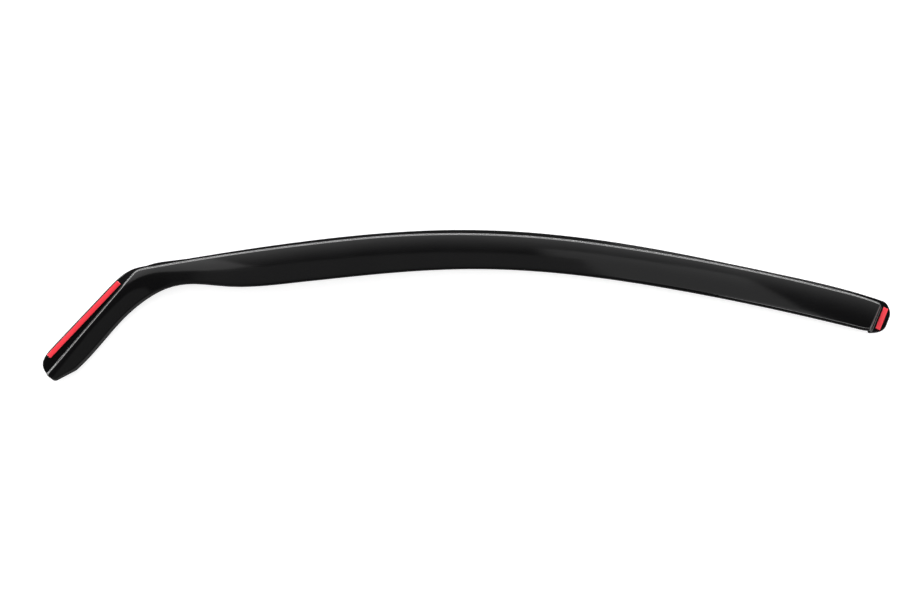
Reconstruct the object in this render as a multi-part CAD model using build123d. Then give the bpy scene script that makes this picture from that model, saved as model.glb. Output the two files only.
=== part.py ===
from build123d import *
import os
from math import pi, radians, sqrt, tan

# Window rain deflector: one formed acrylic sheet that slides its top flange into the window
# channel, with foam tape on the pillar flange and on the rear tab. Millimetres. It lies face up:
# the flange is flat on the table, +X runs from the pillar end to the rear end, +Z is up.

# Acrylic sheet
sheet = 3.0               # thickness

# Fold line in plan, where the flange turns up into the visor, from the pillar tip to the rear
tail_heading = 52.0       # degrees the pillar run climbs from the roof's level
tail_run = 145.0          # straight run along the windscreen pillar
tail_turn = 41.3          # degrees turned from pillar to roof line
tail_bend = 18.0          # radius of that turn
front_run = 243.0         # four tangent arcs along the roof, front to rear
front_radius = 2900.0
crown_run = 267.0
crown_radius = 1100.0
rear_run = 289.0
rear_radius = 2400.0
heel_run = 43.5
heel_radius = 330.0
rear_lean = 2.0           # degrees the rear end line leans from square
rear_corner = 1.0         # plan radius at the top of the corner between roof line and end line

# Flange, measured out from the fold line
tip_flange = 17.2         # at the pillar tip
knee_flange = 11.2        # where the pillar flange starts to narrow
bend_flange = 3.8         # at the turn
front_flange = 2.8
crown_flange = 4.8
waist_flange = 2.8        # narrowest, before the heel
rear_flange = 4.2
knee_run = 28.0           # pillar run over which the flange narrows
tab_width = 13.0          # end tab, out from the end line
tab_top = 10.0            # along the end line, where the tab's straight side starts
tab_side = 11.0           # length of that straight side
tab_length = 35.5         # end tab along the end line

# Visor, measured in from the fold line to the free edge
tip_visor = 13.2          # at the blunt tip
tail_visor = 24.6
elbow_visor = 28.0
neck_visor = 28.0
swell_visor = 39.2
bulge_visor = 45.6
crown_visor = 43.7
rear_visor = 39.4
neck_station = 198.0      # along the fold line
swell_station = 252.0
bulge_station = 320.0
tip_slant = 24.0          # tail run over which the free edge slants in to the tip
tip_fall = 1.8            # how far it has come in where the slant starts
tip_blunt = 6.0           # length of the blunt end
tip_corner = 5.0          # radius on the visor side of the tip
tip_round = 20.0          # radius on the flange side of the tip
tip_run = 30.0            # where that round has run into the pillar flange's straight edge
foot_run = 18.0           # visor run over which the free edge turns to the end tab

# Shoulder and crown of the visor, heights above the flange
shoulder_slope = 72.0     # degrees
tail_shoulder = 5.0
roof_shoulder = 6.0
tail_edge = 2.0
roof_edge = 13.0
tail_crown = 1.5          # bulge of the face between shoulder and free edge
roof_crown = 1.2
lift_start = 60.0         # along the fold line, where the face starts to lift
lift_end = 300.0          # and where it has its full height
crown_bend = 80.0         # the face turns from pillar to roof on this easier radius
crest_radius = 4.0        # over the shoulder, outside
valley_radius = 1.5       # between flange and shoulder, outside
edge_bevel = 0.5          # scraped off the cut edge, outer face

# Double-sided foam tape with its release film
tape_width = 5.5
foam_thickness = 0.8
liner_thickness = 0.15
front_tape_length = 112.0
front_tape_margin = 2.0   # from the pillar flange's outer edge
front_tape_station = 73.0  # its middle, along that edge from the tip
rear_tape_length = 26.5
rear_tape_margin = 4.8    # from the tab's outer edge
rear_tape_station = 15.6  # its middle, along the end line

# Room around the cut outline while the sheet is formed, and sections along its face
trim_rooms = (4.0, 5.0, 3.0, 6.0, 4.5, 5.5, 3.5)  # margins of the blank, tried in turn until the crest rounds
face_room = 10.0
form_room = 40.0
crown_sections = 60

# Upward share of a face's normal, which tells its kind
upright_share = 0.1
sloping_share = 0.6
level_share = 0.9
whole_share = 2.0


def tangent_arc(last, radius, run):
    """An arc that leaves the end of the last curve and turns towards the free edge."""
    return JernArc(last @ 1, last % 1, radius, -run / radius * 180 / pi)


def fold_curves(inset, bend):
    """The fold line moved in by inset, with its pillar turn on the given radius."""
    heading = Vector(1, 0, 0).rotate(Axis.Z, tail_heading)
    side = heading.rotate(Axis.Z, -90) * inset
    eased = (bend - tail_bend) * tan(radians(tail_turn / 2))
    tail = Line(side, side + heading * (tail_run - eased))
    turn = JernArc(tail @ 1, heading, bend - inset, -tail_turn - eased / front_radius * 180 / pi)
    curves = [tail, turn]
    for radius, run in [
        (front_radius, front_run - eased),
        (crown_radius, crown_run),
        (rear_radius, rear_run),
        (heel_radius, heel_run),
    ]:
        curves.append(tangent_arc(curves[-1], radius - inset, run * (radius - inset) / radius))
    return curves


def beside(path, station, offset):
    """Plan point at a distance along a path, offset to its free-edge side."""
    along = min(max(station, 0), path.length)
    base = path.position_at(along, position_mode=PositionMode.LENGTH)
    heading = path.tangent_at(along, position_mode=PositionMode.LENGTH)
    return base + heading * (station - along) + heading.rotate(Axis.Z, -90) * offset


diagonal = sqrt(1 / 2)
fold_line = Wire(fold_curves(0, tail_bend))
fold_length = fold_line.length
roof_start = tail_run + tail_bend * radians(tail_turn)
crown_station = roof_start + front_run + crown_run / 2
rear_station = (crown_station + fold_length) / 2
end_along = (fold_line % 1).rotate(Axis.Z, -90 - rear_lean)
end_out = end_along.rotate(Axis.Z, 90)


def beyond_end(out, along):
    """Plan point measured from the rear corner, out from the end line and along it."""
    return fold_line @ 1 + end_out * out + end_along * along


def pillar_width(station):
    """Width of the pillar flange, which narrows evenly from the tip to the knee."""
    return tip_flange + (knee_flange - tip_flange) * station / (tail_run - knee_run)


def flange_edge(station, width, grow):
    """Outline point on the flange side of the fold line."""
    return beside(fold_line, station, -width - grow)


def free_edge(station, width, grow):
    """Outline point on the visor side of the fold line."""
    return beside(fold_line, station, width + grow)


def outline(grow):
    """Plan outline of the sheet, grown all round by a margin."""
    roof = Spline(
        flange_edge(roof_start + tail_bend / 4, front_flange, grow),
        flange_edge((roof_start + crown_station) / 2, (front_flange + crown_flange) / 2, grow),
        flange_edge(crown_station, crown_flange, grow),
        flange_edge(rear_station, (crown_flange + waist_flange) / 2, grow),
        flange_edge((rear_station + fold_length - heel_run) / 2, waist_flange, grow),
        flange_edge(fold_length - heel_run, (waist_flange + rear_flange) / 2, grow),
        flange_edge(fold_length, rear_flange, grow),
    )
    tab_corner = Spline(
        roof @ 1,
        beyond_end(tab_width + grow, tab_top),
        tangents=[roof % 1, end_along],
    )
    tab_edge = Line(tab_corner @ 1, beyond_end(tab_width + grow, tab_top + tab_side))
    free = Spline(
        free_edge(fold_length - foot_run, rear_visor, grow),
        free_edge(rear_station, (crown_visor + rear_visor) / 2, grow),
        free_edge(crown_station, crown_visor, grow),
        free_edge(bulge_station, bulge_visor, grow),
        free_edge(swell_station, swell_visor, grow),
        free_edge(neck_station, neck_visor, grow),
        free_edge(tail_run - knee_run, elbow_visor, grow),
        free_edge(tail_run / 3, tail_visor, grow),
        free_edge(tip_slant, tail_visor - tip_fall, grow),
    )
    tab_foot = Spline(
        tab_edge @ 1,
        beyond_end(0, tab_length + grow),
        free @ 0,
        tangents=[end_along, free % 0],
    )
    slant = FilletPolyline(
        free @ 1,
        free_edge(-grow, tip_visor, grow),
        free_edge(-grow, tip_visor - tip_blunt, 0),
        radius=tip_corner,
    )
    pillar = Line(
        flange_edge(tip_run, pillar_width(tip_run), grow),
        flange_edge(tail_run - knee_run, knee_flange, grow),
    )
    inside = tip_round * (1 - diagonal)
    tip = Spline(
        slant @ 1,
        flange_edge(inside - grow * diagonal, tip_flange - inside, grow * diagonal),
        pillar @ 0,
        tangents=[slant % 1, pillar % 0],
    )
    knee = Spline(
        pillar @ 1,
        flange_edge((tail_run + roof_start) / 2, bend_flange, grow),
        roof @ 0,
        tangents=[pillar % 1, roof % 0],
    )
    return make_face([roof, tab_corner, tab_edge, tab_foot, free, *slant.edges(), tip, pillar, knee])


# Crown: the face rises from the low pillar end to its full height along the roof
crown_line = Wire(fold_curves(0, crown_bend))


def crown_section(station):
    """The face's outer surface across one station, a parabola carried past shoulder and free edge."""
    part_way = min(max((station - lift_start) / (lift_end - lift_start), 0), 1)
    lift = part_way * part_way * (3 - 2 * part_way)
    width = tail_visor + (crown_visor - tail_visor) * lift
    shoulder = sheet + tail_shoulder + (roof_shoulder - tail_shoulder) * lift
    edge = sheet + tail_edge + (roof_edge - tail_edge) * lift
    bulge = tail_crown + (roof_crown - tail_crown) * lift
    first = -face_room
    last = bulge_visor + face_room

    def height(across):
        return shoulder + (edge - shoulder) * across + 4 * bulge * across * (1 - across)

    slope = (edge - shoulder + 4 * bulge * (1 - 2 * first / width)) / width
    middle = height(first / width) + slope * (last - first) / 2
    return Bezier(
        beside(crown_line, station, first) + Vector(0, 0, height(first / width)),
        beside(crown_line, station, (first + last) / 2) + Vector(0, 0, middle),
        beside(crown_line, station, last) + Vector(0, 0, height(last / width)),
    )


def crown_face():
    """The face's outer surface as one smooth patch, larger than the visor."""
    start = -face_room
    step = (crown_line.length + tab_width + face_room * 2) / crown_sections
    sections = [Wire(crown_section(start + step * i)) for i in range(crown_sections + 1)]
    return Shell.make_loft(sections).faces()[0]


def raised_region(inset, height):
    """Plan of the raised visor inside its fold and end lines, moved in by inset, at a height."""
    curves = fold_curves(inset, tail_bend)
    corner = rear_corner + wall_top - inset
    heel = heel_run - (corner + inset) * tan(radians((90 + rear_lean) / 2))
    curves[0] = Line(curves[0] @ 0 - (curves[0] % 0) * form_room, curves[0] @ 1)
    curves[-1] = tangent_arc(curves[-2], heel_radius - inset, heel * (heel_radius - inset) / heel_radius)
    turn = JernArc(curves[-1] @ 1, curves[-1] % 1, corner, -90 - rear_lean)
    end = Line(turn @ 1, turn @ 1 + (turn % 1) * (rear_visor + form_room))
    close = Line(end @ 1, curves[0] @ 0)
    return Pos(0, 0, height) * make_face([*curves, turn, end, close])


# Shoulder wall: its slope moves it in as it climbs, and the sheet's thickness moves the inner wall in
wall_lean = 1 / tan(radians(shoulder_slope))
wall_height = roof_edge + roof_crown + crest_radius / 2
wall_foot = sheet * tan(radians(shoulder_slope / 2))
wall_top = wall_foot + wall_height * wall_lean


def facing(body, least, most):
    """Faces whose normal's upward share lies between two values."""
    return body.faces().filter_by(lambda f: least < f.normal_at(f.center()).Z < most)


def shared(one, other):
    """Edges that two groups of faces have in common."""
    return [edge for edge in one.edges() if any(edge == match for match in other.edges())]


def wall_edges(body, kind):
    """Edges where the sloping walls meet the level faces of one kind."""
    level = facing(body, level_share, whole_share).filter_by(kind)
    return shared(facing(body, upright_share, sloping_share), level)


def form(drop):
    """The forming shape whose surface lies drop millimetres inside the sheet's outer face."""
    floor = sheet - drop
    foot = drop * tan(radians(shoulder_slope / 2))
    low = raised_region(foot, floor)
    high = raised_region(foot + wall_height * wall_lean, floor + wall_height)
    plan = low.bounding_box().add(outline(0).bounding_box())
    size = plan.size + Vector(form_room, form_room, form_room)
    slab = Pos(plan.center().X, plan.center().Y, floor - size.Z / 2) * Box(size.X, size.Y, size.Z)
    body = slab + loft([low, high], ruled=True)
    body = fillet(wall_edges(body, GeomType.PLANE), valley_radius + drop)
    above = Pos(0, 0, -drop) * extrude(crown_face(), amount=form_room, dir=(0, 0, 1))
    for room in trim_rooms:
        blank = Pos(0, 0, -form_room) * extrude(outline(room), amount=form_room * 2)
        raised = (body & blank) - above
        try:
            return fillet(wall_edges(raised, GeomType.BSPLINE), crest_radius - drop)
        except ValueError:
            continue
    raise ValueError("the crest cannot be rounded at these sizes")


def tape_strip(centre, along, length, bottom, thickness):
    """One layer of tape lying on the flange, its length along a direction."""
    place = Plane(origin=centre + Vector(0, 0, bottom + thickness / 2), x_dir=along, z_dir=(0, 0, 1))
    return place * Box(length, tape_width, thickness)


# The outer form is cut to the outline, its cut edge is scraped, and the inner form is taken out of it
trimmed = form(0) & extrude(outline(0), amount=form_room)
rim = shared(facing(trimmed, -upright_share, upright_share), facing(trimmed, upright_share, whole_share))
shell = chamfer(rim, edge_bevel) - form(sheet)

pillar_edge = Line(
    flange_edge(0, tip_flange, 0),
    flange_edge(tail_run - knee_run, knee_flange, 0),
)
front_along = pillar_edge % 0
front_in = front_along.rotate(Axis.Z, -90) * (front_tape_margin + tape_width / 2)
front_centre = pillar_edge @ 0 + front_along * front_tape_station + front_in
rear_centre = beyond_end(tab_width - rear_tape_margin - tape_width / 2, rear_tape_station)

nodes = {
    "deflector_shell": shell,
    "front_tape_foam": tape_strip(front_centre, front_along, front_tape_length, sheet, foam_thickness),
    "front_tape_liner": tape_strip(
        front_centre, front_along, front_tape_length, sheet + foam_thickness, liner_thickness
    ),
    "rear_tape_foam": tape_strip(rear_centre, end_along, rear_tape_length, sheet, foam_thickness),
    "rear_tape_liner": tape_strip(
        rear_centre, end_along, rear_tape_length, sheet + foam_thickness, liner_thickness
    ),
}

# Origin: middle of the plan, on the table
middle = shell.bounding_box().center()
os.makedirs("parts", exist_ok=True)
for name, shape in nodes.items():
    export_step(Pos(-middle.X, -middle.Y, 0) * shape, f"parts/{name}.step")
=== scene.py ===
import bpy
import numpy as np
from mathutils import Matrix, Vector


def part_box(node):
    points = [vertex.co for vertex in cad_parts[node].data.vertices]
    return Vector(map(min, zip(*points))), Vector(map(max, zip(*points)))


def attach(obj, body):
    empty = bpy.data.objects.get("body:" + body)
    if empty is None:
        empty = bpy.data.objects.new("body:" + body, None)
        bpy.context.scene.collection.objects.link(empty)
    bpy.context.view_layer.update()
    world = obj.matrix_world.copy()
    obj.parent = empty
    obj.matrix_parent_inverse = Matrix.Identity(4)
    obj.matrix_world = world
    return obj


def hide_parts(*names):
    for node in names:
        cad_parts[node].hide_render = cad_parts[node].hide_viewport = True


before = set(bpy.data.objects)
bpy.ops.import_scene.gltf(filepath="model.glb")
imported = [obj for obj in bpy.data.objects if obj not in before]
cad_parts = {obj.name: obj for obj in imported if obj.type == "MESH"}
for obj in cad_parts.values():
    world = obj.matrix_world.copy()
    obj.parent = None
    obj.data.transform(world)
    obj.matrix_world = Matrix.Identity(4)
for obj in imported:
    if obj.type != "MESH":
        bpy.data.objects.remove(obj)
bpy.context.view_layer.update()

# Deflector shell: one sheet of near-black acrylic, softened and drawn over a form, then cut to its outline.
# It is a level flange, a steep shoulder and a long crowned visor, with an end wall and a tab at the rear.
# Its flange slides into the window channel, and tape holds the pillar flange and the tab.
MM = 0.001
TINY = 1e-6
SHEET = 3.0
SHOULDER_SLOPE = np.radians(72.0)
VALLEY_RADIUS = 1.5
CREST_RADIUS = 2.6
LEAST_CREST = 0.5
EDGE_BEVEL = 0.5

# fold line in plan, from the pillar tip to the rear: a straight run, a turn and four arcs
FOLD_START = np.array([-467.16, -79.68])
TAIL_HEADING = np.radians(52.0)
TAIL_RUN = 145.0
TAIL_TURN = np.radians(41.3)
TAIL_BEND = 18.0
CROWN_BEND = 80.0
ROOF_RUNS = np.array([243.0, 267.0, 289.0, 43.5])
ROOF_RADII = np.array([2900.0, 1100.0, 2400.0, 330.0])
REAR_LEAN = np.radians(2.0)
LEAN_RUN = 60.0
CORNER_RADIUS = 5.0


def lay_path(bend):
    """Start points, headings, stations and curvatures of a straight run, a turn, arcs and a straight end:
    each part steps on by its chord, along its middle heading."""
    eased = (bend - TAIL_BEND) * np.tan(TAIL_TURN / 2)
    turn_run = bend * (TAIL_TURN + eased / ROOF_RADII[0])
    runs = np.concatenate([[TAIL_RUN - eased, turn_run, ROOF_RUNS[0] - eased], ROOF_RUNS[1:]])
    curvatures = np.concatenate([[0.0, 1 / bend], 1 / ROOF_RADII, [0.0]])
    stations = np.concatenate([[0.0], np.cumsum(runs)])
    headings = TAIL_HEADING - np.concatenate([[0.0], np.cumsum(runs * curvatures[:-1])])
    middles = headings[:-1] - runs * curvatures[:-1] / 2
    chords = runs * np.sinc(runs * curvatures[:-1] / 2 / np.pi)
    steps = np.stack([chords * np.cos(middles), chords * np.sin(middles)], axis=1)
    starts = np.concatenate([np.zeros((1, 2)), np.cumsum(steps, axis=0)])
    return starts, headings, stations, curvatures


def along_path(path, station):
    """Plan point and heading at each station: a chord of its arc, turned by half the arc's angle."""
    starts, headings, stations, curvatures = path
    part = np.clip(np.searchsorted(stations, station, side="right") - 1, 0, len(stations) - 1)
    run = station - stations[part]
    turned = run * curvatures[part]
    chord = run * np.sinc(turned / 2 / np.pi)
    middle = headings[part] - turned / 2
    point = starts[part] + np.stack([chord * np.cos(middle), chord * np.sin(middle)], axis=-1)
    return point, headings[part] - turned


def path_place(path, point):
    """Station and inward distance of each plan point: the nearest of the runs and arcs it lies beside."""
    starts, headings, stations, curvatures = path
    ends = np.append(stations[1:], np.inf)
    best_station = np.zeros(point.shape[:-1])
    best_inward = np.full(point.shape[:-1], np.inf)
    for start, heading, station, end, curvature in zip(starts, headings, stations, ends, curvatures):
        offset = point - start
        ahead = offset[..., 0] * np.cos(heading) + offset[..., 1] * np.sin(heading)
        inward = offset[..., 0] * np.sin(heading) - offset[..., 1] * np.cos(heading)
        run = ahead
        if curvature:
            radius = 1 / curvature
            run = np.arctan2(ahead, radius - inward) * radius
            inward = radius - np.hypot(ahead, radius - inward)
        beside = ((run >= 0) | (station == 0)) & (run <= end - station + TINY)
        nearest = beside & (np.abs(inward) < np.abs(best_inward))
        best_station = np.where(nearest, station + run, best_station)
        best_inward = np.where(nearest, inward, best_inward)
    return best_station, best_inward


# the flange folds on a tight turn, while the face's crown follows an easier one
fold_path = lay_path(TAIL_BEND)
crown_path = lay_path(CROWN_BEND)
crown_length = crown_path[2][-1]
_, end_heading = along_path(crown_path, crown_length)
rear_corner, _ = along_path(fold_path, fold_path[2][-1])
end_out = np.array([np.cos(end_heading - REAR_LEAN), np.sin(end_heading - REAR_LEAN)])


def plan_point(station, across):
    """Plan point at a station of the crown line, across it towards the free edge, on rows that lean by a
    smooth step to the end line."""
    point, heading = along_path(crown_path, station)
    near_end = np.clip((station - crown_length + LEAN_RUN) / LEAN_RUN, 0, 1)
    row = heading - np.pi / 2 - REAR_LEAN * near_end * near_end * (3 - 2 * near_end)
    return point + np.stack([np.cos(row), np.sin(row)], axis=-1) * across[..., None]


# upward share of a normal, under which a triangle of the solid is part of its cut edge, and the number of
# corrections that bring a point of that edge to the crown line's own coordinates
UPRIGHT_SHARE = 0.05
PLACE_STEPS = 5


def cut_outline():
    """Station and across of the solid's cut edge, its flange side and its free side: plan corners of the
    upright triangles, brought to the crown line's own coordinates and parted by a line from tip to tab."""
    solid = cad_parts["deflector_shell"].data
    corners = np.empty(3 * len(solid.vertices))
    solid.vertices.foreach_get("co", corners)
    normals = np.empty(3 * len(solid.polygons))
    solid.polygons.foreach_get("normal", normals)
    numbers = np.empty(len(solid.loops), dtype=int)
    solid.loops.foreach_get("vertex_index", numbers)
    upright = np.abs(normals[2::3]) < UPRIGHT_SHARE
    rim = corners.reshape(-1, 3)[numbers.reshape(-1, 3)[upright].ravel(), :2] / MM - FOLD_START
    rim = np.unique(np.round(rim, 2), axis=0)
    station, across = path_place(crown_path, rim)
    for _ in range(PLACE_STEPS):
        miss = rim - plan_point(station, across)
        _, heading = along_path(crown_path, station)
        station = station + miss[:, 0] * np.cos(heading) + miss[:, 1] * np.sin(heading)
        across = across + miss[:, 0] * np.sin(heading) - miss[:, 1] * np.cos(heading)
    order = np.argsort(station)
    station, across = station[order], across[order]
    tip = across[station < station[0] + EDGE_BEVEL / 2].mean()
    tab = across[station > station[-1] - EDGE_BEVEL / 2].mean()
    free = across > np.interp(station, station[[0, -1]], [tip, tab])
    return [(station[side], across[side]) for side in (~free, free)]


flange_side, free_side = cut_outline()
span = free_side[0][-1]


def cut_side(side, inwards, station):
    """Across of one side of the cut edge at each station, drawn in by the bevel along the edge's normal."""
    along, beside = side
    ahead = np.gradient(along)
    aside = np.gradient(beside)
    step = np.hypot(ahead, aside)
    drawn_along = along - inwards * EDGE_BEVEL * aside / step
    drawn_beside = beside + inwards * EDGE_BEVEL * ahead / step
    order = np.argsort(drawn_along)
    return np.interp(station, drawn_along[order], drawn_beside[order])


# widths and heights of the visor's face above the flange, at the low pillar end and along the roof
LIFT_START = 60.0
LIFT_END = 300.0
FACE_WIDTHS = (24.6, 43.7)
SHOULDER_HEIGHTS = (5.0, 6.0)
EDGE_HEIGHTS = (2.0, 13.0)
BULGES = (1.5, 1.2)


def crown_height(station, across):
    """Height and inward slope of the face: a parabola across, lifted from pillar to roof by a smooth step."""
    part_way = np.clip((station - LIFT_START) / (LIFT_END - LIFT_START), 0, 1)
    lift = part_way * part_way * (3 - 2 * part_way)
    width, shoulder, edge, bulge = [
        low + (high - low) * lift for low, high in (FACE_WIDTHS, SHOULDER_HEIGHTS, EDGE_HEIGHTS, BULGES)
    ]
    share = across / width
    height = SHEET + shoulder + (edge - shoulder) * share + 4 * bulge * share * (1 - share)
    return height, (edge - shoulder + 4 * bulge * (1 - 2 * share)) / width


def sheet_height(point, station, across, drop):
    """Height of the surface drop inside the outer face: floor, valley arc, wall, crest arc, then the crown.
    The wall stands on the fold line and on the end line, and a round joins them at the rear corner."""
    _, inward = path_place(fold_path, point)
    from_end = (rear_corner - point) @ end_out
    short_in = CORNER_RADIUS - inward
    short_end = CORNER_RADIUS - from_end
    reach = np.hypot(np.maximum(short_in, 0), np.maximum(short_end, 0))
    reach = reach + np.minimum(np.maximum(short_in, short_end), 0)
    crown, slope = crown_height(station, across)
    slope = slope * np.clip(short_in / np.maximum(reach, TINY), 0, 1)
    crown = crown - drop
    floor = SHEET - drop
    lean = np.tan(SHOULDER_SLOPE)
    past_fold = CORNER_RADIUS - reach - drop * np.tan(SHOULDER_SLOPE / 2)
    wall = floor + past_fold * lean
    valley = VALLEY_RADIUS + drop
    foot = valley * np.tan(SHOULDER_SLOPE / 2)
    dip = np.sqrt(np.maximum(valley**2 - (past_fold + foot) ** 2, 0))
    low = np.where(past_fold < foot * np.cos(SHOULDER_SLOPE), floor + valley - dip, wall)
    low = np.where(past_fold < -foot, floor, low)
    crest = max(CREST_RADIUS - drop, LEAST_CREST)
    tilt = np.arctan(slope)
    grip = crest * np.tan((SHOULDER_SLOPE - tilt) / 2)
    past_crest = (wall - crown) / (lean - slope)
    centre = crest * np.sin(SHOULDER_SLOPE) - grip * np.cos(SHOULDER_SLOPE)
    base = crown - slope * past_crest - grip * np.sin(SHOULDER_SLOPE) - crest * np.cos(SHOULDER_SLOPE)
    arc = base + np.sqrt(np.maximum(crest**2 - (past_crest - centre) ** 2, 0))
    top = np.where(past_crest > grip * np.cos(tilt), crown, arc)
    return np.where(past_crest < -grip * np.cos(SHOULDER_SLOPE), low, top)


# rim of the free edge, scraped after the cut: where its inner land and its outer band start, and how much
# each adds to the slope
RIM_STARTS = np.array([2.6, 1.7])
RIM_SLOPES = np.array([0.19, 0.30])
RIM_BLEND = 0.25


def rim_fall(station, inside):
    """How far scraping lowers the outer face, by distance inside the free edge: two soft hinges, added up,
    that fade out at the end wall."""
    past = RIM_STARTS - inside[..., None]
    fall = ((past + np.hypot(past, RIM_BLEND)) / 2) @ RIM_SLOPES
    return fall * np.clip((crown_length - station) / RIM_STARTS[0], 0, 1)


# stretches of the grid's rows, and the rows on each: the tip, the roof, the end wall and the tab
TIP_STRETCH = 20.0
BEFORE_WALL = 18.0
PAST_WALL = 2.0
TIP_ROWS = 26
ROOF_ROWS = 410
WALL_ROWS = 56
TAB_ROWS = 24


def sheet_rows():
    """Stations of the grid's rows: by a cosine at the tip, even along the roof, even but closer over the end
    wall, and by a sine on the tab's rounds."""
    tip = EDGE_BEVEL + TIP_STRETCH * (1 - np.cos(np.linspace(0, np.pi / 2, TIP_ROWS)))
    roof = np.linspace(tip[-1], crown_length - BEFORE_WALL, ROOF_ROWS)
    wall = np.linspace(roof[-1], crown_length + PAST_WALL, WALL_ROWS)
    tab = wall[-1] + (span - EDGE_BEVEL - wall[-1]) * np.sin(np.linspace(0, np.pi / 2, TAB_ROWS))
    return np.concatenate([tip, roof[1:], wall[1:], tab[1:]])


# bands of the grid's columns about the fold line and at the rim, the columns on each stretch, the run at the
# tip where the columns are evened out, and the least share of evening
FOLD_BAND = (-1.6, 9.4)
RIM_BAND = 3.0
FLANGE_COLUMNS = 5
FOLD_COLUMNS = 34
FACE_COLUMNS = 17
RIM_COLUMNS = 11
TIP_EVENED = 30.0
LEAST_EVENED = 0.02


def sheet_columns(station, low, high):
    """Across of the grid's columns: even on flange and face, close together over the fold and at the rim, and
    evened out on the short rows at both ends."""
    low, high = low[:, None], high[:, None]
    point, _ = along_path(crown_path, station)
    _, inward = path_place(fold_path, point)
    fold = np.linspace(*FOLD_BAND, FOLD_COLUMNS) - inward[:, None]
    rim = high - np.linspace(RIM_BAND, 0, RIM_COLUMNS)
    flange = low + (fold[:, :1] - low) * np.linspace(0, 1, FLANGE_COLUMNS, endpoint=False)
    face = fold[:, -1:] + (rim[:, :1] - fold[:, -1:]) * np.linspace(0, 1, FACE_COLUMNS + 2)[1:-1]
    aimed = np.sort(np.concatenate([flange, fold, face, rim], axis=1), axis=1)
    aimed = np.clip(aimed, low, high)
    even = low + (high - low) * np.linspace(0, 1, aimed.shape[1])
    past_end = np.clip((station - crown_length) / (span - crown_length), 0, 1)
    evened = np.clip(1 - station / TIP_EVENED, 0, 1) + past_end + LEAST_EVENED
    return aimed + (even - aimed) * np.clip(evened, 0, 1)[:, None]


def ring(grid):
    """The grid's outer points in order, once round: flange side, last row, free side, first row."""
    return np.concatenate([grid[:-1, 0], grid[-1, :-1], grid[:0:-1, -1], grid[0, :0:-1]])


def grid_faces(numbers):
    """Quads between neighbouring rows and columns of a block of point numbers."""
    corners = [numbers[:-1, :-1], numbers[:-1, 1:], numbers[1:, 1:], numbers[1:, :-1]]
    return np.stack(corners, axis=-1).reshape(-1, 4)


# rings round the cut edge, from the upper face down: how far out each stands, as a share of the bevel, and
# how far it rises from the upper face or, after the upper rings, from the lower one
RING_OUTS = np.array([0.05, 0.14, 0.86, 0.95, 1.0, 1.0, 1.0, 1.0])
RING_RISES = np.array([-0.02, -0.06, -0.42, -0.47, -0.53, -0.7, 0.3, 0.08])
UPPER_RINGS = 6
SAWN_RINGS = 6


def formed_sheet():
    """Upper and lower faces on one plan grid, joined round the cut edge by rings: a bevel at 45 degrees, then
    the upright cut. Gives points, faces and a 1 for each face left as sawn, the flange's bevel among them."""
    station = sheet_rows()
    low = cut_side(flange_side, 1, station)
    high = cut_side(free_side, -1, station)
    across = sheet_columns(station, low, high)
    station = np.broadcast_to(station[:, None], across.shape)
    plan = plan_point(station, across)
    upper = sheet_height(plan, station, across, 0.0) - rim_fall(station, high[:, None] - across)
    lower = sheet_height(plan, station, across, SHEET)
    edge = ring(plan)
    ahead = np.roll(edge, -1, axis=0) - edge
    ahead /= np.linalg.norm(ahead, axis=1, keepdims=True)
    ahead = ahead + np.roll(ahead, 1, axis=0)
    ahead /= np.linalg.norm(ahead, axis=1, keepdims=True)
    out = np.stack([-ahead[:, 1], ahead[:, 0]], axis=1) * EDGE_BEVEL
    rings = edge[None] + out[None] * RING_OUTS[:, None, None]
    from_upper = np.arange(len(RING_OUTS))[:, None] < UPPER_RINGS
    ring_heights = np.where(from_upper, ring(upper)[None], ring(lower)[None]) + RING_RISES[:, None]
    points = np.concatenate([
        np.concatenate([place, height[..., None]], axis=-1).reshape(-1, 3)
        for place, height in ((plan, upper), (plan, lower), (rings, ring_heights))
    ])
    count = upper.size
    top = np.arange(count).reshape(upper.shape)
    bottom = top + count
    loops = 2 * count + np.arange(ring_heights.size).reshape(ring_heights.shape)
    loops = np.concatenate([ring(top)[None], loops, ring(bottom)[None]])
    loops = np.concatenate([loops, loops[:, :1]], axis=1)
    faces = np.concatenate([grid_faces(top), grid_faces(bottom)[:, ::-1], grid_faces(loops)])
    rim_sawn = np.zeros((len(loops) - 1, len(edge)), dtype=int)
    rim_sawn[-SAWN_RINGS:] = 1
    rim_sawn[:, :len(plan) - 1] = 1
    sawn = np.concatenate([np.zeros(len(faces) - rim_sawn.size, dtype=int), rim_sawn.ravel()])
    return points, faces, sawn


def put_mesh(name, points, faces):
    """A smooth-shaded mesh object at the origin, from points in metres and lists of corner numbers."""
    mesh = bpy.data.meshes.new(name)
    mesh.from_pydata(points.tolist(), [], faces)
    mesh.polygons.foreach_set("use_smooth", np.ones(len(mesh.polygons), dtype=bool))
    mesh.update()
    piece = bpy.data.objects.new(name, mesh)
    bpy.context.scene.collection.objects.link(piece)
    return piece


sheet_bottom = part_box("deflector_shell")[0][2]
shell_points, shell_faces, shell_sawn = formed_sheet()
shell_points[:, :2] += FOLD_START
shell_points = shell_points * MM + (0.0, 0.0, sheet_bottom)
shell = put_mesh("formed_acrylic_sheet", shell_points, shell_faces.tolist())
shell.data.polygons.foreach_set("material_index", shell_sawn)


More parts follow.
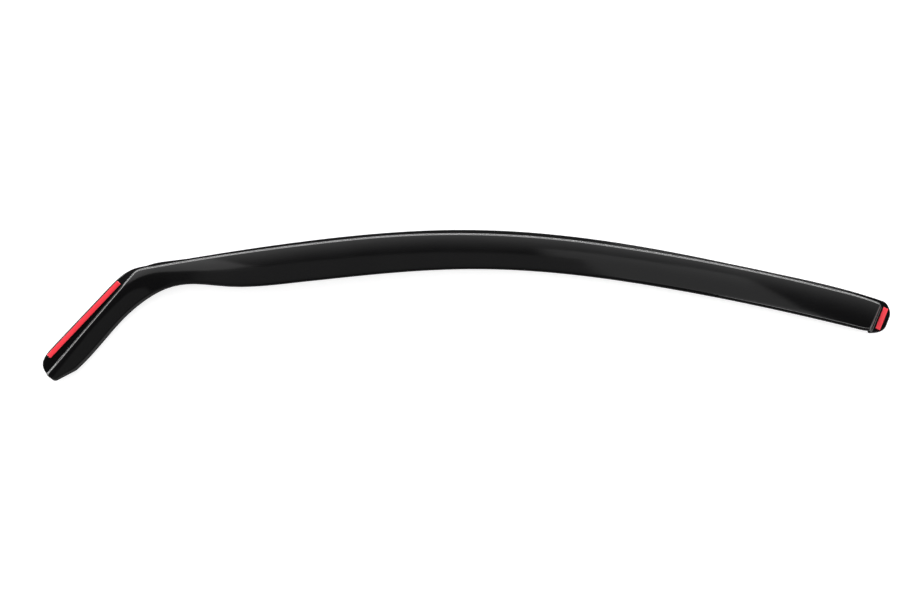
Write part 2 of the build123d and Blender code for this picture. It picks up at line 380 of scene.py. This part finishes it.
class Value:
    """A shader socket that takes + - * and power as Math nodes, and makes other nodes by type."""

    def __init__(self, tree, socket=None):
        self.tree = tree
        self.socket = socket

    def node(self, kind, settings=None, **inputs):
        """A node of one type with its settings, then its sockets' values or links; i0 is the first socket."""
        made = self.tree.nodes.new(kind)
        for name, setting in (settings or {}).items():
            setattr(made, name, setting)
        for name, given in inputs.items():
            key = int(name[1:]) if name[1:].isdigit() else name.replace("_", " ")
            if isinstance(given, Value):
                self.tree.links.new(given.socket, made.inputs[key])
            else:
                made.inputs[key].default_value = given
        return made

    def output(self, kind, settings=None, out=0, **inputs):
        """One output of a new node, wrapped."""
        return Value(self.tree, self.node(kind, settings, **inputs).outputs[out])

    def mixed(self, first, second):
        """A colour that goes from the first to the second as this value goes from 0 to 1."""
        return self.output("ShaderNodeMix", {"data_type": "RGBA"}, out=2, i0=self, i6=first, i7=second)

    def maths(self, operation, first, second):
        """One Math node's operation on two values."""
        return self.output("ShaderNodeMath", {"operation": operation}, i0=first, i1=second)

    def __add__(self, other):
        return self.maths("ADD", self, other)

    def __radd__(self, other):
        return self.maths("ADD", other, self)

    def __sub__(self, other):
        return self.maths("SUBTRACT", self, other)

    def __rsub__(self, other):
        return self.maths("SUBTRACT", other, self)

    def __mul__(self, other):
        return self.maths("MULTIPLY", self, other)

    def __rmul__(self, other):
        return self.maths("MULTIPLY", other, self)

    def __pow__(self, other):
        return self.maths("POWER", self, other)


def new_material(name, **constants):
    """A Principled material with constants set on its sockets, its shader and a wrapped Object coordinate."""
    material = bpy.data.materials.new(name)
    material.use_nodes = True
    shader = material.node_tree.nodes["Principled BSDF"]
    for socket, constant in constants.items():
        shader.inputs[socket.replace("_", " ")].default_value = constant
    place = Value(material.node_tree).output("ShaderNodeTexCoord", out="Object")
    return material, shader, place


def feed(shader, socket, value):
    """Link a wrapped value to one of the shader's sockets."""
    value.tree.links.new(value.socket, shader.inputs[socket])


ACRYLIC_CLEAR = (0.0022, 0.0022, 0.0024, 1.0)
ACRYLIC_HAZY = (0.0036, 0.0036, 0.0038, 1.0)
SAWN_DARK = (0.006, 0.006, 0.006, 1.0)
SAWN_PALE = (0.016, 0.016, 0.0165, 1.0)


def polished_acrylic():
    """Near-black acrylic: a slow draw-down ripple, faint haze patches and hairline polishing marks."""
    material, shader, place = new_material("polished_black_acrylic", IOR=1.49)
    haze = place.output("ShaderNodeTexNoise", Vector=place, Scale=22.0, Detail=3.0, Roughness=0.55)
    stretched = place.output("ShaderNodeMapping", Vector=place, Scale=(14.0, 520.0, 520.0))
    marks = place.output("ShaderNodeTexNoise", Vector=stretched, Scale=1.0, Detail=2.0, Roughness=0.6)
    feed(shader, "Roughness", 0.055 + haze * 0.05 + marks**4 * 0.12)
    feed(shader, "Base Color", haze.mixed(ACRYLIC_CLEAR, ACRYLIC_HAZY))
    ripple = place.output("ShaderNodeTexNoise", Vector=place, Scale=16.0, Detail=1.0, Roughness=0.4)
    fine = place.output("ShaderNodeTexNoise", Vector=place, Scale=240.0, Detail=1.0, Roughness=0.4)
    relief = place.output("ShaderNodeBump", Strength=0.35, Distance=0.0006, Height=ripple + fine * 0.03)
    feed(shader, "Normal", relief)
    return material


def sawn_acrylic():
    """The cutter's edge: dull, with fine upright tool marks that change its shade."""
    material, shader, place = new_material("sawn_black_acrylic", Roughness=0.7, Specular_IOR_Level=0.0)
    stretched = place.output("ShaderNodeMapping", Vector=place, Scale=(900.0, 900.0, 60.0))
    marks = place.output("ShaderNodeTexNoise", Vector=stretched, Scale=1.0, Detail=2.0, Roughness=0.6)
    feed(shader, "Base Color", marks.mixed(SAWN_DARK, SAWN_PALE))
    feed(shader, "Normal", place.output("ShaderNodeBump", Strength=0.4, Distance=0.0001, Height=marks))
    return material


shell.data.materials.append(polished_acrylic())
shell.data.materials.append(sawn_acrylic())
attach(shell, "root")
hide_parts("deflector_shell")

# Tape foam: two strips of black closed-cell foam, sticky on both faces, pressed onto the flange.
# One lies along the pillar flange and a short one on the end tab; their cut sides show fine open cells.
TAPE_LENGTHS = {"front": 112.0, "rear": 26.5}
TAPE_WIDTH = 5.5
FOAM_EASE = 0.12
# foam colours: painted shade in the cells' pits, and a painted highlight on their rims
FOAM_PIT_SHADE = (0.016, 0.016, 0.017, 1.0)
FOAM_RIM_HIGHLIGHT = (0.032, 0.032, 0.033, 1.0)


def strip_frame(node, length):
    """Middle, direction, bottom and top of a tape node: its turn is solved from its box, length and width."""
    low, high = [np.array(corner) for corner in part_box(node)]
    size = (high - low)[:2] / MM
    cosine = (size[0] * length - size[1] * TAPE_WIDTH) / (length**2 - TAPE_WIDTH**2)
    sine = (size[1] * length - size[0] * TAPE_WIDTH) / (length**2 - TAPE_WIDTH**2)
    direction = np.array([cosine, sine]) / np.hypot(cosine, sine)
    return (low + high)[:2] / 2, direction, low[2], high[2]


# points on each rounded corner of a strip's section, rows along the strip, and the two waves of its top
ROUND_POINTS = 5
STRIP_ROWS = 121
SAG_WAVES = (9.0, 23.0)


def eased_strip(name, node, length, ease, sag):
    """A strip laid along its tape node: a rectangle with rounded corners carried along the strip, its top
    dipping by a product of two sines, with a fan of triangles at each end."""
    middle, direction, bottom, top = strip_frame(node, length)
    half = np.array([TAPE_WIDTH * MM / 2, (top - bottom) / 2])
    radius = min(ease * MM, half[1])
    corners = np.repeat(np.array([[1, 1], [-1, 1], [-1, -1], [1, -1]]), ROUND_POINTS, axis=0)
    turn = np.concatenate([np.linspace(0, np.pi / 2, ROUND_POINTS) + k * np.pi / 2 for k in range(4)])
    section = corners * (half - radius) + radius * np.stack([np.cos(turn), np.sin(turn)], axis=1)
    part_way = np.linspace(-0.5, 0.5, STRIP_ROWS)
    squeeze = np.ones_like(part_way)
    squeeze[[0, -1]] = 1 - radius / half[0]
    dip = np.abs(sag * MM * np.sin(part_way * SAG_WAVES[0]) * np.sin(part_way * SAG_WAVES[1]))
    across = section[None, :, 0] * squeeze[:, None]
    height = (bottom + top) / 2 + section[None, :, 1] - np.where(section[None, :, 1] > 0, dip[:, None], 0)
    side = np.array([-direction[1], direction[0]])
    plan = middle + part_way[:, None, None] * length * MM * direction + across[..., None] * side
    points = np.concatenate([plan, height[..., None]], axis=-1)
    end_middles = points[[0, -1]].mean(axis=1)
    numbers = np.arange(height.size).reshape(height.shape)
    loops = np.concatenate([numbers, numbers[:, :1]], axis=1)
    first = np.stack([np.full(len(section), height.size), loops[0, 1:], loops[0, :-1]], axis=1)
    last = np.stack([np.full(len(section), height.size + 1), loops[-1, :-1], loops[-1, 1:]], axis=1)
    faces = grid_faces(loops).tolist() + first.tolist() + last.tolist()
    return put_mesh(name, np.concatenate([points.reshape(-1, 3), end_middles]), faces)


def cellular_foam():
    """Black foam: small cells pit its sides, with painted shade in the pits and a painted highlight on their
    rims.
    """
    material, shader, place = new_material("black_tape_foam", Roughness=0.85)
    cells = place.output("ShaderNodeTexVoronoi", {"feature": "DISTANCE_TO_EDGE"}, Vector=place, Scale=3200.0)
    # base colour: painted highlight on the cell rims, fading to painted shade in the pits
    feed(shader, "Base Color", (cells * 2.0).mixed(FOAM_RIM_HIGHLIGHT, FOAM_PIT_SHADE))
    feed(shader, "Normal", place.output("ShaderNodeBump", Strength=0.5, Distance=0.0001, Height=cells))
    return material


foam_material = cellular_foam()
for end, length in TAPE_LENGTHS.items():
    foam = eased_strip(end + "_foam_strip", end + "_tape_foam", length, FOAM_EASE, 0.0)
    foam.data.materials.append(foam_material)
    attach(foam, "root")
    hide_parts(end + "_tape_foam")

# Release film: thin red film over each tape's sticky upper face, peeled off when the deflector is fitted.
# It is smooth and slightly satin, and lies a little uneven on the soft foam.
FILM_EASE = 0.06
FILM_SAG = 0.03
FILM_DEEP = (0.82, 0.028, 0.046, 1.0)
FILM_BRIGHT = (0.92, 0.040, 0.062, 1.0)


def red_film():
    """Red film: satin, with slow shade changes and a faint ripple where it lies on the foam."""
    material, shader, place = new_material("red_release_film", IOR=1.5)
    cloud = place.output("ShaderNodeTexNoise", Vector=place, Scale=60.0, Detail=2.0, Roughness=0.5)
    feed(shader, "Base Color", cloud.mixed(FILM_DEEP, FILM_BRIGHT))
    feed(shader, "Roughness", 0.28 + cloud * 0.16)
    ripple = place.output("ShaderNodeTexNoise", Vector=place, Scale=420.0, Detail=1.0, Roughness=0.5)
    feed(shader, "Normal", place.output("ShaderNodeBump", Strength=0.3, Distance=0.0002, Height=ripple))
    return material


film_material = red_film()
for end, length in TAPE_LENGTHS.items():
    film = eased_strip(end + "_film_strip", end + "_tape_liner", length, FILM_EASE, FILM_SAG)
    film.data.materials.append(film_material)
    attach(film, "root")
    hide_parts(end + "_tape_liner")

# Floor: a plain white sheet of paper under the part, which keeps its soft shadow.
# To the camera and in reflections it glows a little, so that the paper reads as white.
FLOOR_HALF = 6.0
FLOOR_GAP = 0.0002
PAPER = (0.55, 0.55, 0.55, 1.0)
PAPER_GLOW = (0.7, 0.7, 0.7, 1.0)
UNLIT = (0.0, 0.0, 0.0, 1.0)
floor_corners = np.array([[-1, -1, 0], [1, -1, 0], [1, 1, 0], [-1, 1, 0]]) * FLOOR_HALF
floor = put_mesh("white_floor", floor_corners + (0, 0, sheet_bottom - FLOOR_GAP), [[0, 1, 2, 3]])


def seen_rays(value, *kinds):
    """1 for a ray of any of the given kinds, else 0: the largest of Light Path's outputs."""
    seen = value.output("ShaderNodeLightPath", out=kinds[0])
    for kind in kinds[1:]:
        seen = value.maths("MAXIMUM", seen, value.output("ShaderNodeLightPath", out=kind))
    return seen


floor_material, floor_shader, floor_place = new_material(
    "white_paper", Base_Color=PAPER, Roughness=0.9, Specular_IOR_Level=0.0, Emission_Strength=1.0
)
floor_seen = seen_rays(floor_place, "Is Camera Ray", "Is Glossy Ray", "Is Transmission Ray")
feed(floor_shader, "Emission Color", floor_seen.mixed(UNLIT, PAPER_GLOW))
floor.data.materials.append(floor_material)

# Studio: a white light tent with a bright low band and a weaker high one, dim at the front and overhead.
# Weak panels hang over the part and at its right end; to the camera the tent is plain white.
# Each band fades out over a stretch of upward share, and round to the front over a stretch of backward share.
LOW_FADE = (0.10, 0.26)
LOW_GLOW = 16.0
LOW_FRONT = 0.08
LOW_TURN = 0.45
HIGH_FADE = (0.5, 0.86)
HIGH_GLOW = 2.85
HIGH_FRONT = 0.3
HIGH_TURN = 0.75
FRONT_FADE = (0.0, 0.45)
BACK_SHARE = 0.8
DIMMEST = 0.03

world = bpy.data.worlds.new("light_tent")
world.use_nodes = True
tent = Value(world.node_tree).output("ShaderNodeTexCoord", out="Generated")
tent_split = tent.node("ShaderNodeSeparateXYZ", Vector=tent)
tent_right, tent_back, tent_up = [Value(world.node_tree, socket) for socket in tent_split.outputs]


def soft_fade(value, stretch, first, last):
    """A smooth step from the first strength to the last, as the value goes over its stretch."""
    return value.output("ShaderNodeMapRange", {"interpolation_type": "SMOOTHSTEP"}, Value=value,
                        From_Min=stretch[0], From_Max=stretch[1], To_Min=first, To_Max=last)


low_band = soft_fade(tent_up, LOW_FADE, LOW_GLOW, 0.0)
high_band = soft_fade(tent_up, HIGH_FADE, HIGH_GLOW, 0.0)
low_side = soft_fade(tent_back * BACK_SHARE - tent_right * LOW_TURN, FRONT_FADE, LOW_FRONT, 1.0)
high_side = soft_fade(tent_back * BACK_SHARE - tent_right * HIGH_TURN, FRONT_FADE, HIGH_FRONT, 1.0)
tent_glow = low_band * low_side + high_band * high_side + DIMMEST
tent_seen = seen_rays(tent, "Is Camera Ray", "Is Transmission Ray")
tent_paper = world.node_tree.nodes["Background"]
tent_paper.inputs["Color"].default_value = (1.0, 1.0, 1.0, 1.0)
feed(tent_paper, "Strength", tent_glow + tent_seen * (1.0 - tent_glow))
bpy.context.scene.world = world

CEILING = 1.5


def soft_box(name, place, aim, size, power):
    """A rectangular area light at a place, aimed at a point."""
    light = bpy.data.lights.new(name, "AREA")
    light.shape = "RECTANGLE"
    light.size, light.size_y = size
    light.energy = power
    lamp = bpy.data.objects.new(name, light)
    lamp.location = place
    away = np.array(place) - np.array(aim)
    lean = np.arctan2(np.hypot(away[0], away[1]), away[2])
    lamp.rotation_euler = (lean, 0.0, np.arctan2(away[0], -away[1]))
    bpy.context.scene.collection.objects.link(lamp)


def ceiling_box(name, right, back, size, power):
    """An area light on the tent's ceiling, straight above a point of the floor."""
    soft_box(name, (right, back, CEILING), (right, back, 0.0), size, power)


ceiling_box("ceiling_panel", -0.22, 0.22, size=(1.15, 1.45), power=0.95)
ceiling_box("right_ceiling_panel", 0.57, 0.85, size=(0.62, 0.6), power=0.62)
soft_box("right_side_panel", (1.3, -0.1, 0.7), aim=(0.46, -0.02, 0.0), size=(0.5, 0.5), power=3.0)
ceiling_box("flange_panel", 0.15, 0.42, size=(1.5, 0.36), power=1.6)
ceiling_box("rim_panel", 0.75, -0.1, size=(0.5, 0.2), power=2.3)
soft_box("knee_panel", (-1.0, 1.0, 1.48), aim=(-0.33, 0.02, 0.0), size=(0.6, 0.4), power=0.6)

# Camera: at the photograph's angle, looking down on the part from its free-edge side.
# A 50 mm lens on a full frame stands far enough back for the whole length to fit.
ELEVATION = np.radians(78.0)
DISTANCE = 1.435
LOOK_AT = np.array([-0.0091, -0.0017, 0.0])
camera_data = bpy.data.cameras.new("photo_camera")
camera_data.lens = 50.0
camera_data.sensor_width = 36.0
camera = bpy.data.objects.new("photo_camera", camera_data)
camera.location = LOOK_AT + DISTANCE * np.array([0.0, -np.cos(ELEVATION), np.sin(ELEVATION)])
camera.rotation_euler = (np.pi / 2 - ELEVATION, 0.0, 0.0)
bpy.context.scene.collection.objects.link(camera)
bpy.context.scene.camera = camera
bpy.context.scene.view_settings.view_transform = "Standard"
